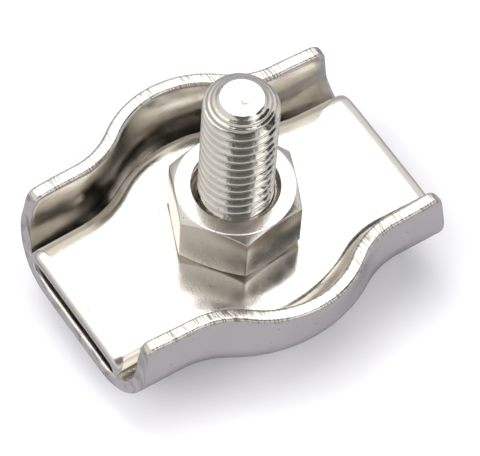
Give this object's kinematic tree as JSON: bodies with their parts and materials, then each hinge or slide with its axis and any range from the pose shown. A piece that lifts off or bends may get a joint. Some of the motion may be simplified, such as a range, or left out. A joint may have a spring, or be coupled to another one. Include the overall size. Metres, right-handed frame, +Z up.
{
  "type": "wire rope clip",
  "caption": "Pressed steel wire rope clip: bulged channel and pressure plate drawn together by a hexagon bolt and nut to clamp rope strands.",
  "frame": {"origin": "centre of the bolt head's bottom face, on the bolt axis", "axes": "+X along the rope and the channel, +Y across the channel, +Z up the bolt towards its tip"},
  "size_m": [0.0242, 0.02, 0.0209],
  "materials": {
    "channel_steel": "polished stainless steel",
    "plate_steel": "mirror-polished stainless steel",
    "bolt_steel": "bright rolled stainless steel thread",
    "nut_steel": "bright turned stainless steel"
  },
  "bodies": {
    "saddle": {"channel": "channel_steel", "hex_bolt": "bolt_steel"},
    "plate": {"pressure_plate": "plate_steel"},
    "nut": {"hex_nut": "nut_steel"}
  },
  "joints": [
    {"name": "plate_lift", "type": "slide", "parent": "saddle", "child": "plate", "axis": [0, 0, 1], "range_m": [0, 0.0075]},
    {"name": "nut_spin", "type": "hinge", "parent": "plate", "child": "nut", "pos_m": [0, 0, 0.0093], "axis": [0, 0, 1], "range_deg": [0, 3375]}
  ],
  "couplings": [
    {"joint": "nut_spin", "follows": "plate_lift", "rad_per_m": 7854}
  ]
}
